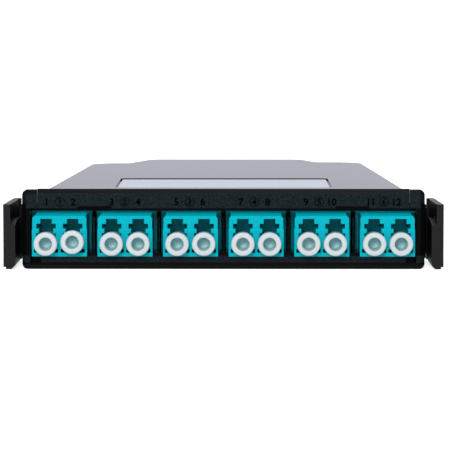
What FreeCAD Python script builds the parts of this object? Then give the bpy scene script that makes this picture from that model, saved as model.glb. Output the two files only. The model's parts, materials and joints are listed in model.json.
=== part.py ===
"""Fibre cassette: a moulded housing with six duplex LC adapters in front and one multi-fibre port behind.

Millimetres. X runs along the bezel, Y from the bezel towards the rear, Z up.
The origin is on the underside, half-way between the bezel's front and the rear of the housing.
"""
import FreeCAD, Part
import math
import os
import re

import Sketcher

SIZES = [
    # alias, millimetres (degrees where said), what it measures
    ("housing_length", 122, "bezel front to the rear of the port bump"),
    ("band_height", 4.5, "top of the opening to the top of the cover"),
    ("bezel_depth", 3.2, "front to back thickness of the bezel"),
    ("bezel_corner", 1.3, "corner radius of the bezel seen from the front"),
    ("bezel_chamfer", 1.1, "bevel round the bezel's front edge"),
    ("post_drop", 0.2, "how much lower the bezel's end posts are than the cover"),
    ("border_height", 1.5, "bezel strip below the opening"),
    ("post_width", 1.49, "bezel beside the opening"),
    ("head_gap", 1.9, "top of the opening above the adapters"),
    ("rim_step", 0.45, "inner step of the opening's side walls"),
    ("rim_front", 1.0, "depth at which that step starts"),
    ("bay_wall", 0.9, "side wall of the housing beside the adapters"),
    ("bay_room", 11.5, "fibre space in that wide part, behind the inner plugs"),
    ("hold_down_wall", 1.5, "rib of the cover that stands on the adapters"),
    ("top_setin", 2.2, "raised top at the bezel, in from the band's ends"),
    ("top_shift", 0.5, "offset of the raised top to the right"),
    ("side_taper", 2.93, "inward slant of each long side, degrees"),
    ("left_setback", 18, "left rear shoulder in front of the bump's rear"),
    ("right_setback", 13, "right rear shoulder in front of the bump's rear"),
    ("left_corner", 7, "radius of the left rear corner"),
    ("right_corner", 7, "radius of the right rear corner"),
    ("bump_width", 41, "rear bump that holds the multi-fibre port"),
    ("left_ramp", 5.6, "sideways run of the bump's left flank"),
    ("right_ramp", 4.2, "sideways run of the bump's right flank"),
    ("foot_round", 1, "radius at the foot of each flank"),
    ("crest_round", 4, "radius at the crest of each flank"),
    ("floor_wall", 1.5, "thickness of the tray's floor"),
    ("side_wall", 1.6, "thickness of the tray's side and rear walls"),
    ("cover_wall", 1.9, "thickness of the cover's raised top"),
    ("wing_wall", 1.5, "thickness of the cover beside the raised top"),
    ("fit_gap", 0.1, "running or assembly gap between mouldings"),
    ("sunk", 0.2, "how far a rib runs into the wall that carries it"),
    ("overrun", 1, "how far a cut starts outside the face it opens"),
    ("end_post", 3.65, "bezel's end post beside the front band of the cover"),
    ("band_depth", 2.2, "front band, front to back"),
    ("snap_width", 8, "snap slot in the band's lower edge"),
    ("snap_height", 0.5, "height of that slot"),
    ("snap_place", 30.2, "middle of the slot from the centre line"),
    ("lip_drop", 1.5, "locating lip below the cover"),
    ("lip_wall", 1.2, "thickness of that lip"),
    ("lip_length", 40, "length of that lip"),
    ("adapter_count", 6, "duplex adapters in the row"),
    ("adapter_gap", 1.08, "between two adapters' flanges"),
    ("adapter_length", 26, "adapter body, front to back"),
    ("adapter_setback", 0.5, "adapter front behind the bezel front"),
    ("adapter_bevel", 0.45, "bevel of the adapter's two upper edges"),
    ("skirt_height", 6.3, "lower, slightly prouder part of the adapter's front"),
    ("skirt_proud", 0.1, "how far that part stands out"),
    ("skirt_length", 4, "length of that part"),
    ("flange_reach", 0.8, "flange beyond the adapter's sides"),
    ("flange_place", 11, "adapter front to the flange"),
    ("flange_wall", 1.5, "thickness of the flange"),
    ("divider_wall", 0.5, "rib of the tray between two adapters"),
    ("divider_front", 3, "bezel front to those ribs"),
    ("divider_drop", 0.5, "rib top below the adapter's top"),
    ("ledge_height", 3, "ledge that the adapters stand on"),
    ("ledge_setback", 0.5, "ledge front behind the bezel front"),
    ("stop_height", 0.85, "stops in front of and behind the flanges, above the ledge"),
    ("stop_front", 1.8, "bezel front to the front stops"),
    ("stop_length", 1.6, "length of the stops behind the flanges"),
    ("notch_width", 2.5, "square notch at each end of the ledge"),
    ("notch_depth", 4, "depth of that notch"),
    ("boss_size", 2.1, "round locating boss in the ledge, diameter"),
    ("boss_height", 2.5, "boss centre above the underside"),
    ("boss_proud", 0.35, "boss in front of the ledge"),
    ("boss_length", 2.4, "boss, front to back"),
    ("dimple_size", 0.7, "dimple in the boss, diameter"),
    ("port_pitch", 6.25, "between the two ports of an adapter"),
    ("port_web", 0.55, "wall between them"),
    ("port_side", 0.385, "wall beside them"),
    ("port_square", 4.6, "square of the port that takes the plug"),
    ("port_foot", 0.85, "height of the port's wider foot"),
    ("port_floor", 0.9, "wall under the port"),
    ("throat_width", 3.4, "narrow throat above the square"),
    ("throat_height", 1.05, "height of the throat"),
    ("wing_width", 4.6, "cross bar of the port above the throat"),
    ("wing_height", 1.15, "height of the cross bar"),
    ("key_width", 2.7, "key slot at the top of the port"),
    ("key_height", 1.15, "height of the key slot"),
    ("port_roof", 0.65, "wall above the key slot"),
    ("port_depth", 11, "depth of a port from each end"),
    ("ferrule_size", 1.25, "ferrule, and the window where it meets the next one"),
    ("cap_ring", 5.5, "dust cap's front ring, outer diameter"),
    ("cap_proud", 3, "dust cap in front of the adapter"),
    ("cap_reach", 8.5, "dust cap's barrel behind the adapter's front"),
    ("cup_size", 3.1, "cup in the dust cap, diameter at its mouth"),
    ("cup_depth", 4.6, "depth of the cup"),
    ("latch_reach", 4.4, "latch's outer face beyond the bezel's side"),
    ("latch_lean", 0.8, "how far the latch's outer face leans in at its root"),
    ("latch_wall", 1.65, "thickness of the latch plate"),
    ("root_thinning", 0.2, "how much thinner the plate is at its root"),
    ("latch_length", 22, "latch, front to back"),
    ("latch_foot", 0.55, "latch plate's lower edge above the underside"),
    ("latch_top", 15.3, "latch plate's upper edge above the underside"),
    ("tab_reach", 1.15, "thumb tab inside the latch plate"),
    ("tab_length", 15, "thumb tab, front to back"),
    ("tab_top", 11.2, "thumb tab's upper edge above the underside"),
    ("tab_slope", 0.8, "drop of the tab's top towards its front"),
    ("tab_slope_length", 6, "length of that slope"),
    ("tip_width", 1.05, "tip below the latch plate"),
    ("tip_low", 0.05, "tip's lower edge above the underside"),
    ("tip_bevel", 0.85, "bevel up the tab's lower inner corner"),
    ("pivot_size", 2.2, "latch barrel, diameter"),
    ("pivot_setback", 1.5, "latch barrel in front of the latch's rear end"),
    ("pivot_out", 1.34, "barrel centre outside the housing's side"),
    ("jaw_reach", 0.7, "socket jaws beyond the barrel's centre"),
    ("jaw_wall", 1, "wall of the socket round the barrel"),
    ("leg_wall", 1.4, "leg from the barrel to the latch plate"),
    ("socket_low", 1.9, "socket floor above the underside"),
    ("lug_wall", 0.9, "wall above and below the socket"),
    ("label_width", 51.2, "label recess, side to side"),
    ("label_front", 6, "bezel front to the recess"),
    ("label_length", 33.6, "recess, front to back"),
    ("label_recess", 0.4, "depth of the recess"),
    ("label_corner", 1.5, "corner radius of the recess"),
    ("label_paper", 0.15, "thickness of the label"),
    ("label_margin", 0.45, "gap round the label"),
    ("mpo_width", 15.6, "multi-fibre adapter body, width"),
    ("mpo_height", 10.6, "multi-fibre adapter body, height"),
    ("mpo_inside", 12, "adapter body in front of the rear face"),
    ("mpo_outside", 7.5, "adapter body behind the rear face"),
    ("mpo_flange", 2, "adapter flange beyond its body"),
    ("mpo_flange_wall", 1.4, "thickness of that flange"),
    ("mpo_socket_width", 12.6, "multi-fibre socket, width"),
    ("mpo_socket_height", 7.8, "multi-fibre socket, height"),
    ("mpo_web", 2, "wall between the two sockets"),
    ("mpo_level", 9, "socket centre above the underside"),
    ("mpo_key_width", 3, "key slot in the socket's roof, width"),
    ("mpo_key_height", 0.7, "key slot in the socket's roof, height"),
    ("mt_width", 6.5, "multi-fibre ferrule, width"),
    ("mt_height", 2.6, "multi-fibre ferrule, height"),
    ("mpo_cap_reach", 6.5, "rear dust cap inside the socket"),
    ("mpo_cap_head", 5, "rear dust cap outside the socket"),
    ("mpo_cap_rim", 0.9, "rear dust cap's head beyond the socket"),
    ("mpo_grip", 0.8, "depth of the grip hollows in that head"),
    ("mpo_plug_length", 14, "inner multi-fibre plug outside the adapter"),
    ("mpo_boot_length", 7, "its boot"),
    ("mpo_boot_width", 6, "its boot, width"),
    ("mpo_boot_height", 4, "its boot, height"),
    ("ribbon_width", 3.1, "fibre ribbon, width"),
    ("ribbon_wall", 0.4, "fibre ribbon, thickness"),
    ("ribbon_length", 3, "fibre ribbon between boot and fan-out block"),
    ("fanout_width", 15, "fan-out block, width"),
    ("fanout_height", 5, "fan-out block, height"),
    ("fanout_length", 12, "fan-out block, length"),
    ("leg_size", 0.9, "buffered fibre, thickness"),
    ("leg_pitch", 1.15, "between fibres at the fan-out block"),
    ("leg_bend", 9, "bend radius of the buffered fibres"),
    ("plug_length", 12, "inner plug body"),
    ("plug_back", 3, "inner plug body outside the adapter"),
    ("boot_size", 3, "inner plug boot, square"),
    ("boot_length", 6, "inner plug boot"),
]

doc = FreeCAD.newDocument("fibre_cassette")
sheet = doc.addObject("Spreadsheet::Sheet", "sizes")
for row, (alias, number, note) in enumerate(SIZES, start=1):
    sheet.set(f"A{row}", note)
    sheet.set(f"B{row}", str(number))
    sheet.setAlias(f"B{row}", alias)
doc.recompute()

NEAR = 0.01  # an edge counts as found within this many millimetres
ALIASES = {alias for alias, number, note in SIZES}
PLANES = {"plan": "XY_Plane", "front": "XZ_Plane", "side": "YZ_Plane"}
parts = []


# ---------------------------------------------------------------- expressions

def bound(text):
    """The expression with every size looked up in the sheet."""
    return re.sub(r"[a-z_]+", lambda word: f"sizes.{word[0]}" if word[0] in ALIASES else word[0], text)


def value(text):
    """The number that an expression stands for now."""
    result = sheet.evalExpression(bound(text))
    return float(getattr(result, "Value", result))


def deep(depth):
    """Y of a depth behind the bezel's front."""
    return f"({depth} - housing_length / 2)"


# ---------------------------------------------------------------- sketches and features

def pin_point(sketch, geometry, end, point):
    """Ties one point of a sketch to two expressions."""
    for kind, text in zip(("DistanceX", "DistanceY"), point):
        number = sketch.addConstraint(Sketcher.Constraint(kind, geometry, end, value(text)))
        sketch.setExpression(f"Constraints[{number}]", bound(text))


def draw_loop(sketch, loop):
    """A closed outline of straight lines through the given points."""
    corners = [FreeCAD.Vector(value(across), value(up), 0) for across, up in loop]
    first = sketch.GeometryCount
    for start, end in zip(corners, corners[1:] + corners[:1]):
        sketch.addGeometry(Part.LineSegment(start, end), False)
    for step, point in enumerate(loop):
        before = first + (step - 1) % len(loop)
        sketch.addConstraint(Sketcher.Constraint("Coincident", before, 2, first + step, 1))
        pin_point(sketch, first + step, 1, point)


def draw_circle(sketch, across, up, diameter):
    """A circle tied to its centre and diameter."""
    centre = FreeCAD.Vector(value(across), value(up), 0)
    number = sketch.addGeometry(Part.Circle(centre, FreeCAD.Vector(0, 0, 1), value(diameter) / 2), False)
    pin_point(sketch, number, 3, (across, up))
    size = sketch.addConstraint(Sketcher.Constraint("Diameter", number, value(diameter)))
    sketch.setExpression(f"Constraints[{size}]", bound(diameter))


def feature(body, kind, name, view, start, length, loops, circles):
    """Pads or pockets a sketch from a level along +Z (plan), +Y (front) or +X (side)."""
    sketch = body.newObject("Sketcher::SketchObject", f"{name}_sketch")
    plane = next(item for item in body.Origin.OriginFeatures if item.Role == PLANES[view])
    sketch.AttachmentSupport = [(plane, "")]
    sketch.MapMode = "FlatFace"
    sense = "-1" if view == "front" else "1"
    sketch.setExpression("AttachmentOffset.Base.z", bound(f"{sense} * ({start})"))
    for loop in loops:
        draw_loop(sketch, loop)
    for across, up, diameter in circles:
        draw_circle(sketch, across, up, diameter)
    made = body.newObject(f"PartDesign::{kind}", name)
    made.Profile = sketch
    made.setExpression("Length", bound(length))
    made.Reversed = (kind == "Pad") == (view == "front")
    return made


def add(body, name, view, start, length, *loops, circles=()):
    """Adds material to a body."""
    return feature(body, "Pad", name, view, start, length, loops, circles)


def cut(body, name, view, start, length, *loops, circles=()):
    """Takes material away from a body."""
    return feature(body, "Pocket", name, view, start, length, loops, circles)


def rectangle(left, right, low, high):
    """The four corners of an upright rectangle."""
    return [(left, low), (right, low), (right, high), (left, high)]


def dress(body, kind, name, size, chosen):
    """Fillets or chamfers the edges that a test picks from the body as it is now."""
    doc.recompute()
    base = body.Tip
    names = [f"Edge{place}" for place, edge in enumerate(base.Shape.Edges, start=1) if chosen(edge)]
    if not names:
        raise RuntimeError(f"{name}: no edge found")
    made = body.newObject(f"PartDesign::{kind}", name)
    made.Base = (base, names)
    made.setExpression("Radius" if kind == "Fillet" else "Size", bound(size))
    return made


def straight_along(edge, axis):
    """Whether an edge is a straight line along X (0), Y (1) or Z (2)."""
    if not isinstance(edge.Curve, (Part.Line, Part.LineSegment)):
        return False
    run = edge.Vertexes[-1].Point - edge.Vertexes[0].Point
    return edge.Length > 0 and abs(abs(run[axis]) - edge.Length) < 1e-6


def upright_at(*spots):
    """A test for edges along Z that pass through one of the given plan points."""
    places = [(value(across), value(up)) for across, up in spots]

    def chosen(edge):
        if not straight_along(edge, 2):
            return False
        spot = edge.CenterOfMass
        return any(math.hypot(spot.x - across, spot.y - up) < NEAR for across, up in places)
    return chosen


def lengthwise_at(*spots):
    """A test for edges along Y that pass through one of the given (x, z) points."""
    places = [(value(across), value(up)) for across, up in spots]

    def chosen(edge):
        if not straight_along(edge, 1):
            return False
        spot = edge.CenterOfMass
        return any(math.hypot(spot.x - across, spot.z - up) < NEAR for across, up in places)
    return chosen


def new_body(label):
    """A body that becomes a sub-part of its own."""
    body = doc.addObject("PartDesign::Body", label)
    body.Label = label
    parts.append(body)
    return body


def keep(item, label):
    """Makes a finished document object a sub-part of its own."""
    item.Label = label
    parts.append(item)
    return item


def place(item, across="0", back="0", up="0"):
    """Ties an object's position to three expressions."""
    for axis, text in zip("xyz", (across, back, up)):
        item.setExpression(f"Placement.Base.{axis}", bound(text))
    return item


def block(name, left, right, front, back, low, high):
    """A box between six expressions."""
    item = doc.addObject("Part::Box", name)
    for side, start, end in (("Length", left, right), ("Width", front, back), ("Height", low, high)):
        item.setExpression(side, bound(f"({end}) - ({start})"))
    return place(item, left, front, low)


def square_bar(name, centre, front, back, size):
    """A square bar along Y between two depths, on the axis of a port."""
    return block(name, f"{centre} - {size} / 2", f"{centre} + {size} / 2", deep(front), deep(back),
                 f"{PORT_LEVEL} - {size} / 2", f"{PORT_LEVEL} + {size} / 2")


def fuse(name, *pieces):
    """One solid made of touching pieces."""
    item = doc.addObject("Part::MultiFuse", name)
    item.Shapes = list(pieces)
    item.Refine = True
    return item


def group(name, *pieces):
    """Separate solids kept together in one sub-part."""
    item = doc.addObject("Part::Compound", name)
    item.Links = list(pieces)
    return item


# ---------------------------------------------------------------- levels and outlines that pieces share

PORT_WIDTH = "(port_pitch - port_web)"
PLUG_SIZE = "(port_square - 2 * fit_gap)"
ADAPTER_WIDTH = "(2 * port_pitch - port_web + 2 * port_side)"
ADAPTER_PITCH = "(2 * port_pitch - port_web + 2 * port_side + 2 * flange_reach + adapter_gap)"
PORT_HEIGHT = "(port_square + throat_height + wing_height + key_height)"
ADAPTER_TOP = f"(ledge_height + port_floor + {PORT_HEIGHT} + port_roof)"
PORT_LEVEL = "(ledge_height + port_floor + port_square / 2)"
ADAPTER_BACK = "(adapter_setback + adapter_length)"
FLANGE_FRONT = "(adapter_setback + flange_place)"
FLANGE_BACK = "(adapter_setback + flange_place + flange_wall)"
BOOT_BACK = f"({ADAPTER_BACK} + plug_back + boot_length)"

OPENING_TOP = f"({ADAPTER_TOP} + head_gap)"
COVER_TOP = f"({OPENING_TOP} + band_height)"
WALL_TOP = f"({COVER_TOP} - cover_wall)"
POST_TOP = f"({COVER_TOP} - post_drop)"
WING_SEAT = f"({ADAPTER_TOP} + hold_down_wall)"
BAY_INNER = f"((adapter_count * {ADAPTER_PITCH} - adapter_gap) / 2 + fit_gap)"
BAY_SIDE = f"({BAY_INNER} + bay_wall)"
BAY_BACK = f"({BOOT_BACK} + bay_room)"
BEZEL_SIDE = f"({BAY_INNER} + post_width)"
BAND_SIDE = f"({BEZEL_SIDE} - end_post)"
LEFT_SHOULDER = "(housing_length - left_setback)"
RIGHT_SHOULDER = "(housing_length - right_setback)"

PIVOT_X = f"({BAY_SIDE} + pivot_out)"
PIVOT_DEPTH = "(latch_length - pivot_setback)"
SOCKET_HEIGHT = f"({WING_SEAT} - lug_wall - socket_low)"
MPO_FRONT = "(housing_length - mpo_inside)"
MPO_WEB_FRONT = "(housing_length - mpo_inside + (mpo_inside + mpo_outside - mpo_web) / 2)"


def half_top(depth):
    """Half the raised top's width at a depth."""
    return f"({BAND_SIDE} - top_setin - ({depth}) * tan(side_taper * 1 deg))"


def top_right(depth, inset="0"):
    """X of the raised top's right side at a depth, drawn in by the inset."""
    return f"(top_shift + {half_top(depth)} - ({inset}))"


def top_left(depth, inset="0"):
    """X of the raised top's left side at a depth, drawn in by the inset."""
    return f"(top_shift - {half_top(depth)} + ({inset}))"


def rear_outline(inset="0"):
    """The housing's plan behind the right shoulder, round the bump and back to the left shoulder."""
    right = f"{RIGHT_SHOULDER} - ({inset})"
    left = f"{LEFT_SHOULDER} - ({inset})"
    back = f"housing_length - ({inset})"
    return [
        (top_right(RIGHT_SHOULDER, inset), deep(right)),
        (f"bump_width / 2 + right_ramp - ({inset})", deep(right)),
        (f"bump_width / 2 - ({inset})", deep(back)),
        (f"-bump_width / 2 + ({inset})", deep(back)),
        (f"-bump_width / 2 - left_ramp + ({inset})", deep(left)),
        (top_left(LEFT_SHOULDER, inset), deep(left)),
    ]


def round_rear(body, inset="0"):
    """Rounds the rear corners and flanks of a plan drawn with rear_outline."""
    right, right_foot, right_crest, left_crest, left_foot, left = rear_outline(inset)
    name = body.Label
    dress(body, "Fillet", f"{name}_right_{len(body.Group)}", f"right_corner - ({inset})", upright_at(right))
    dress(body, "Fillet", f"{name}_left_{len(body.Group)}", f"left_corner - ({inset})", upright_at(left))
    feet, crests = upright_at(right_foot, left_foot), upright_at(right_crest, left_crest)
    dress(body, "Fillet", f"{name}_feet_{len(body.Group)}", f"foot_round + ({inset})", feet)
    dress(body, "Fillet", f"{name}_crests_{len(body.Group)}", f"crest_round - ({inset})", crests)


def adapter_x(place_in_row):
    """X of an adapter's centre, counted from 1 at the left."""
    return f"({place_in_row} - (adapter_count + 1) / 2) * {ADAPTER_PITCH}"


# ---------------------------------------------------------------- base tray

def base_tray():
    """Lower moulding: bezel frame, adapter bay, fibre space and the sockets of the two latches."""
    tray = new_body("base_tray")
    add(tray, "tray_block", "plan", "0", WALL_TOP, [
        (f"-{BAY_SIDE}", deep("0")), (BAY_SIDE, deep("0")), (BAY_SIDE, deep(BAY_BACK)),
        (top_right(BAY_BACK), deep(BAY_BACK)), *rear_outline(),
        (top_left(BAY_BACK), deep(BAY_BACK)), (f"-{BAY_SIDE}", deep(BAY_BACK))])
    inner = "side_wall"
    step = f"{BAY_BACK} - side_wall"
    cut(tray, "cavity", "plan", "floor_wall", WALL_TOP, [
        (f"-{BAY_INNER}", deep("-overrun")), (BAY_INNER, deep("-overrun")), (BAY_INNER, deep(step)),
        (top_right(step, inner), deep(step)), *rear_outline(inner),
        (top_left(step, inner), deep(step)), (f"-{BAY_INNER}", deep(step))])
    round_rear(tray, inner)
    round_rear(tray)
    cut(tray, "wing_seat", "plan", WING_SEAT, WALL_TOP,
        rectangle(f"-{BAY_SIDE} - overrun", f"{BAY_SIDE} + overrun", deep("-overrun"), deep(BAY_BACK)))
    bezel_frame(tray)
    adapter_seats(tray)
    for name, side in (("left", "-1"), ("right", "1")):
        latch_socket(tray, name, side)
    cut(tray, "port_window", "front", deep("housing_length - side_wall - overrun"),
        "side_wall + 2 * overrun",
        rectangle("-mpo_width / 2", "mpo_width / 2",
                  "mpo_level - mpo_height / 2", "mpo_level + mpo_height / 2"))


def bezel_frame(tray):
    """The bezel: a frame open at the top between two end posts, where the cover's band drops in."""
    post = f"({BAND_SIDE} + fit_gap)"
    add(tray, "bezel", "front", deep("0"), "bezel_depth", [
        (f"-{BEZEL_SIDE}", "0"), (BEZEL_SIDE, "0"), (BEZEL_SIDE, POST_TOP), (post, POST_TOP),
        (post, OPENING_TOP), (BAY_INNER, OPENING_TOP), (BAY_INNER, "border_height"),
        (f"-{BAY_INNER}", "border_height"), (f"-{BAY_INNER}", OPENING_TOP), (f"-{post}", OPENING_TOP),
        (f"-{post}", POST_TOP), (f"-{BEZEL_SIDE}", POST_TOP)])
    for side, edge in (("left", "-1"), ("right", "1")):
        add(tray, f"{side}_rim", "front", deep("rim_front"), "bezel_depth - rim_front", rectangle(
            f"{edge} * ({BAY_INNER} - rim_step)", f"{edge} * ({BAY_INNER} + rim_step)",
            "border_height", OPENING_TOP))
    dress(tray, "Fillet", "bezel_corners", "bezel_corner", lengthwise_at(
        (f"-{BEZEL_SIDE}", "0"), (BEZEL_SIDE, "0"), (f"-{BEZEL_SIDE}", POST_TOP), (BEZEL_SIDE, POST_TOP)))
    front, side = value(deep("0")), value(BEZEL_SIDE)

    def front_side(edge):
        return (straight_along(edge, 2) and abs(edge.CenterOfMass.y - front) < NEAR
                and abs(abs(edge.CenterOfMass.x) - side) < NEAR)
    dress(tray, "Chamfer", "bezel_bevel", "bezel_chamfer", front_side)


def adapter_seats(tray):
    """Ledge, stops and ribs that hold the six adapters, with two locating bosses."""
    back = f"{FLANGE_BACK} + stop_length"
    add(tray, "ledge", "plan", "floor_wall", "ledge_height - floor_wall", rectangle(
        f"-{BAY_INNER}", BAY_INNER, deep("ledge_setback"), deep(back)))
    ribs, stops = [], []
    between = f"(({ADAPTER_PITCH} - {ADAPTER_WIDTH}) / 2 - skirt_proud - fit_gap)"
    for place_in_row in range(int(value("adapter_count")) + 1):
        middle = adapter_x(f"{place_in_row} + 1 / 2")
        left, right = f"{middle} - {between}", f"{middle} + {between}"
        if place_in_row == 0:
            left = f"-{BAY_INNER}"
        elif place_in_row == int(value("adapter_count")):
            right = BAY_INNER
        else:
            ribs.append(rectangle(f"{middle} - divider_wall / 2", f"{middle} + divider_wall / 2",
                                  deep("divider_front"), deep(back)))
        stops.append(rectangle(left, right, deep("stop_front"), deep(f"{FLANGE_FRONT} - fit_gap")))
        stops.append(rectangle(left, right, deep(f"{FLANGE_BACK} + fit_gap"), deep(back)))
    add(tray, "stops", "plan", "floor_wall", "ledge_height + stop_height - floor_wall", *stops)
    add(tray, "dividers", "plan", "floor_wall", f"{ADAPTER_TOP} - divider_drop - floor_wall", *ribs)
    bosses = [(f"{side} * 2 * {ADAPTER_PITCH}", "boss_height", "boss_size") for side in ("-1", "1")]
    dimples = [(across, up, "dimple_size") for across, up, size in bosses]
    add(tray, "bosses", "front", deep("ledge_setback - boss_proud"), "boss_length", circles=bosses)
    cut(tray, "dimples", "front", deep("ledge_setback - boss_proud"), "boss_proud", circles=dimples)
    for side, edge in (("left", "-1"), ("right", "1")):
        cut(tray, f"{side}_notch", "front", deep("ledge_setback - overrun"), "notch_depth + overrun",
            rectangle(
            f"{edge} * ({BAY_INNER} - rim_step)", f"{edge} * ({BAY_INNER} - rim_step - notch_width)",
                "border_height", "ledge_height"))


def latch_socket(tray, name, side):
    """Open-sided socket on the housing's side wall, where a latch's barrel snaps in."""
    half = "(pivot_size / 2 + fit_gap + jaw_wall)"
    add(tray, f"{name}_lug", "plan", "socket_low - lug_wall", f"{SOCKET_HEIGHT} + 2 * lug_wall",
        rectangle(f"{side} * ({BAY_SIDE} - bezel_chamfer / 4)", f"{side} * ({PIVOT_X} + jaw_reach)",
                  deep(f"{PIVOT_DEPTH} - {half}"), deep(f"{PIVOT_DEPTH} + {half}")))
    cut(tray, f"{name}_socket", "plan", "socket_low", SOCKET_HEIGHT,
        circles=[(f"{side} * {PIVOT_X}", deep(PIVOT_DEPTH), "pivot_size + 2 * fit_gap")])


# ---------------------------------------------------------------- top cover and its label

def top_cover():
    """Upper moulding: raised tapering top, lower wings beside it and the numbered band in front."""
    cover = new_body("top_cover")
    add(cover, "raised_top", "plan", WALL_TOP, "cover_wall", [
        (top_left("0"), deep("band_depth / 2")), (top_right("0"), deep("band_depth / 2")), *rear_outline()])
    round_rear(cover)
    band = BAND_SIDE
    back = f"{BAY_BACK} - fit_gap"
    behind = "bezel_depth + fit_gap"
    add(cover, "wings", "plan", WING_SEAT, "wing_wall", [
        (f"-{band}", deep("band_depth / 2")), (band, deep("band_depth / 2")), (band, deep(behind)),
        (BAY_SIDE, deep(behind)), (BAY_SIDE, deep(back)), (f"-{BAY_SIDE}", deep(back)),
        (f"-{BAY_SIDE}", deep(behind)), (f"-{band}", deep(behind))])
    add(cover, "flanks", "plan", WING_SEAT, f"{WALL_TOP} - {WING_SEAT} + cover_wall / 2", [
        (top_left("0"), deep("band_depth / 2")), (top_right("0"), deep("band_depth / 2")),
        (top_right(back), deep(back)), (top_left(back), deep(back))])
    cut(cover, "head_room", "plan", f"{WING_SEAT} - overrun", f"{WALL_TOP} - {WING_SEAT} + overrun", [
        (top_left("0", "cover_wall"), deep("band_depth")),
        (top_right("0", "cover_wall"), deep("band_depth")),
        (top_right(back, "cover_wall"), deep(f"{BAY_BACK} + overrun")),
        (top_left(back, "cover_wall"), deep(f"{BAY_BACK} + overrun"))])
    add(cover, "band", "front", deep("0"), "band_depth",
        rectangle(f"-{band}", band, OPENING_TOP, COVER_TOP))
    hold_down_rib(cover)
    for name, edge in (("left", "-1"), ("right", "1")):
        snap_slot_and_lip(cover, name, edge)
    cut(cover, "label_recess_cut", "plan", f"{COVER_TOP} - label_recess", "label_recess + overrun",
        rectangle(*label_area("0")))
    left, right, front, rear = label_area("0")
    dress(cover, "Fillet", "label_recess_corners", "label_corner",
          upright_at((left, front), (right, front), (left, rear), (right, rear)))
    front_y, top_z = value(deep("0")), value(COVER_TOP)
    dress(cover, "Chamfer", "band_bevel", "bezel_chamfer", lambda edge: straight_along(edge, 0)
          and abs(edge.CenterOfMass.y - front_y) < NEAR and abs(edge.CenterOfMass.z - top_z) < NEAR)


def hold_down_rib(cover):
    """Rib under the cover that keeps the adapters down on the tray's ledge."""
    inside = f"({half_top(BAY_BACK)} - cover_wall - top_shift)"
    side = f"({BAY_INNER} - fit_gap)"
    add(cover, "hold_down", "front", deep(FLANGE_FRONT), "flange_wall", [
        (f"-{side}", ADAPTER_TOP), (side, ADAPTER_TOP),
        (side, f"{WING_SEAT} + sunk"), (inside, f"{WING_SEAT} + sunk"),
        (inside, f"{WALL_TOP} + sunk"), (f"-{inside}", f"{WALL_TOP} + sunk"),
        (f"-{inside}", f"{WING_SEAT} + sunk"), (f"-{side}", f"{WING_SEAT} + sunk")])


def snap_slot_and_lip(cover, name, edge):
    """A slot in the band's lower edge and a straight lip inside the tray's long wall."""
    cut(cover, f"{name}_slot", "front", deep("-overrun"), "band_depth + 2 * overrun", rectangle(
        f"{edge} * (snap_place - snap_width / 2)", f"{edge} * (snap_place + snap_width / 2)",
        f"{OPENING_TOP} - overrun", f"{OPENING_TOP} + snap_height"))
    start, end = f"({BAY_BACK} + 5)", f"({BAY_BACK} + 5 + lip_length)"
    side = top_right if edge == "1" else top_left
    near, far = "side_wall + fit_gap", "side_wall + fit_gap + lip_wall"
    add(cover, f"{name}_lip", "plan", f"{WALL_TOP} - lip_drop", "lip_drop + cover_wall / 2", [
        (side(start, near), deep(start)), (side(end, near), deep(end)),
        (side(end, far), deep(end)), (side(start, far), deep(start))])


def label_area(margin):
    """The label recess, drawn in by a margin."""
    return (f"-label_width / 2 + {margin}", f"label_width / 2 - {margin}",
            deep(f"label_front + {margin}"), deep(f"label_front + label_length - {margin}"))


def top_label():
    """Paper label lying in the cover's recess."""
    label = new_body("top_label")
    left, right, front, rear = label_area("label_margin")
    add(label, "paper", "plan", f"{COVER_TOP} - label_recess", "label_paper",
        rectangle(left, right, front, rear))


# ---------------------------------------------------------------- duplex adapters with what they hold

def port_outline(middle):
    """A port seen from the front: foot, square for the plug, throat, cross bar and key slot."""
    low = "(ledge_height + port_floor)"
    throat = f"({low} + port_square)"
    bar = f"({throat} + throat_height)"
    key = f"({bar} + wing_height)"
    top = f"({key} + key_height)"
    foot = f"({low} + port_foot)"
    right_side = [(PORT_WIDTH, low), (PORT_WIDTH, foot), ("port_square", foot), ("port_square", throat),
                  ("throat_width", throat), ("throat_width", bar),
                  ("wing_width", bar), ("wing_width", key), ("key_width", key), ("key_width", top)]
    left_side = [(f"{middle} - {width} / 2", level) for width, level in reversed(right_side)]
    return [(f"{middle} + {width} / 2", level) for width, level in right_side] + left_side


def ferrule_window(middle):
    """The way through an adapter's middle wall where two ferrules meet, square like the inner ferrules."""
    half = "ferrule_size / 2"
    return rectangle(f"{middle} - {half}", f"{middle} + {half}",
                     f"{PORT_LEVEL} - {half}", f"{PORT_LEVEL} + {half}")


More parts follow.
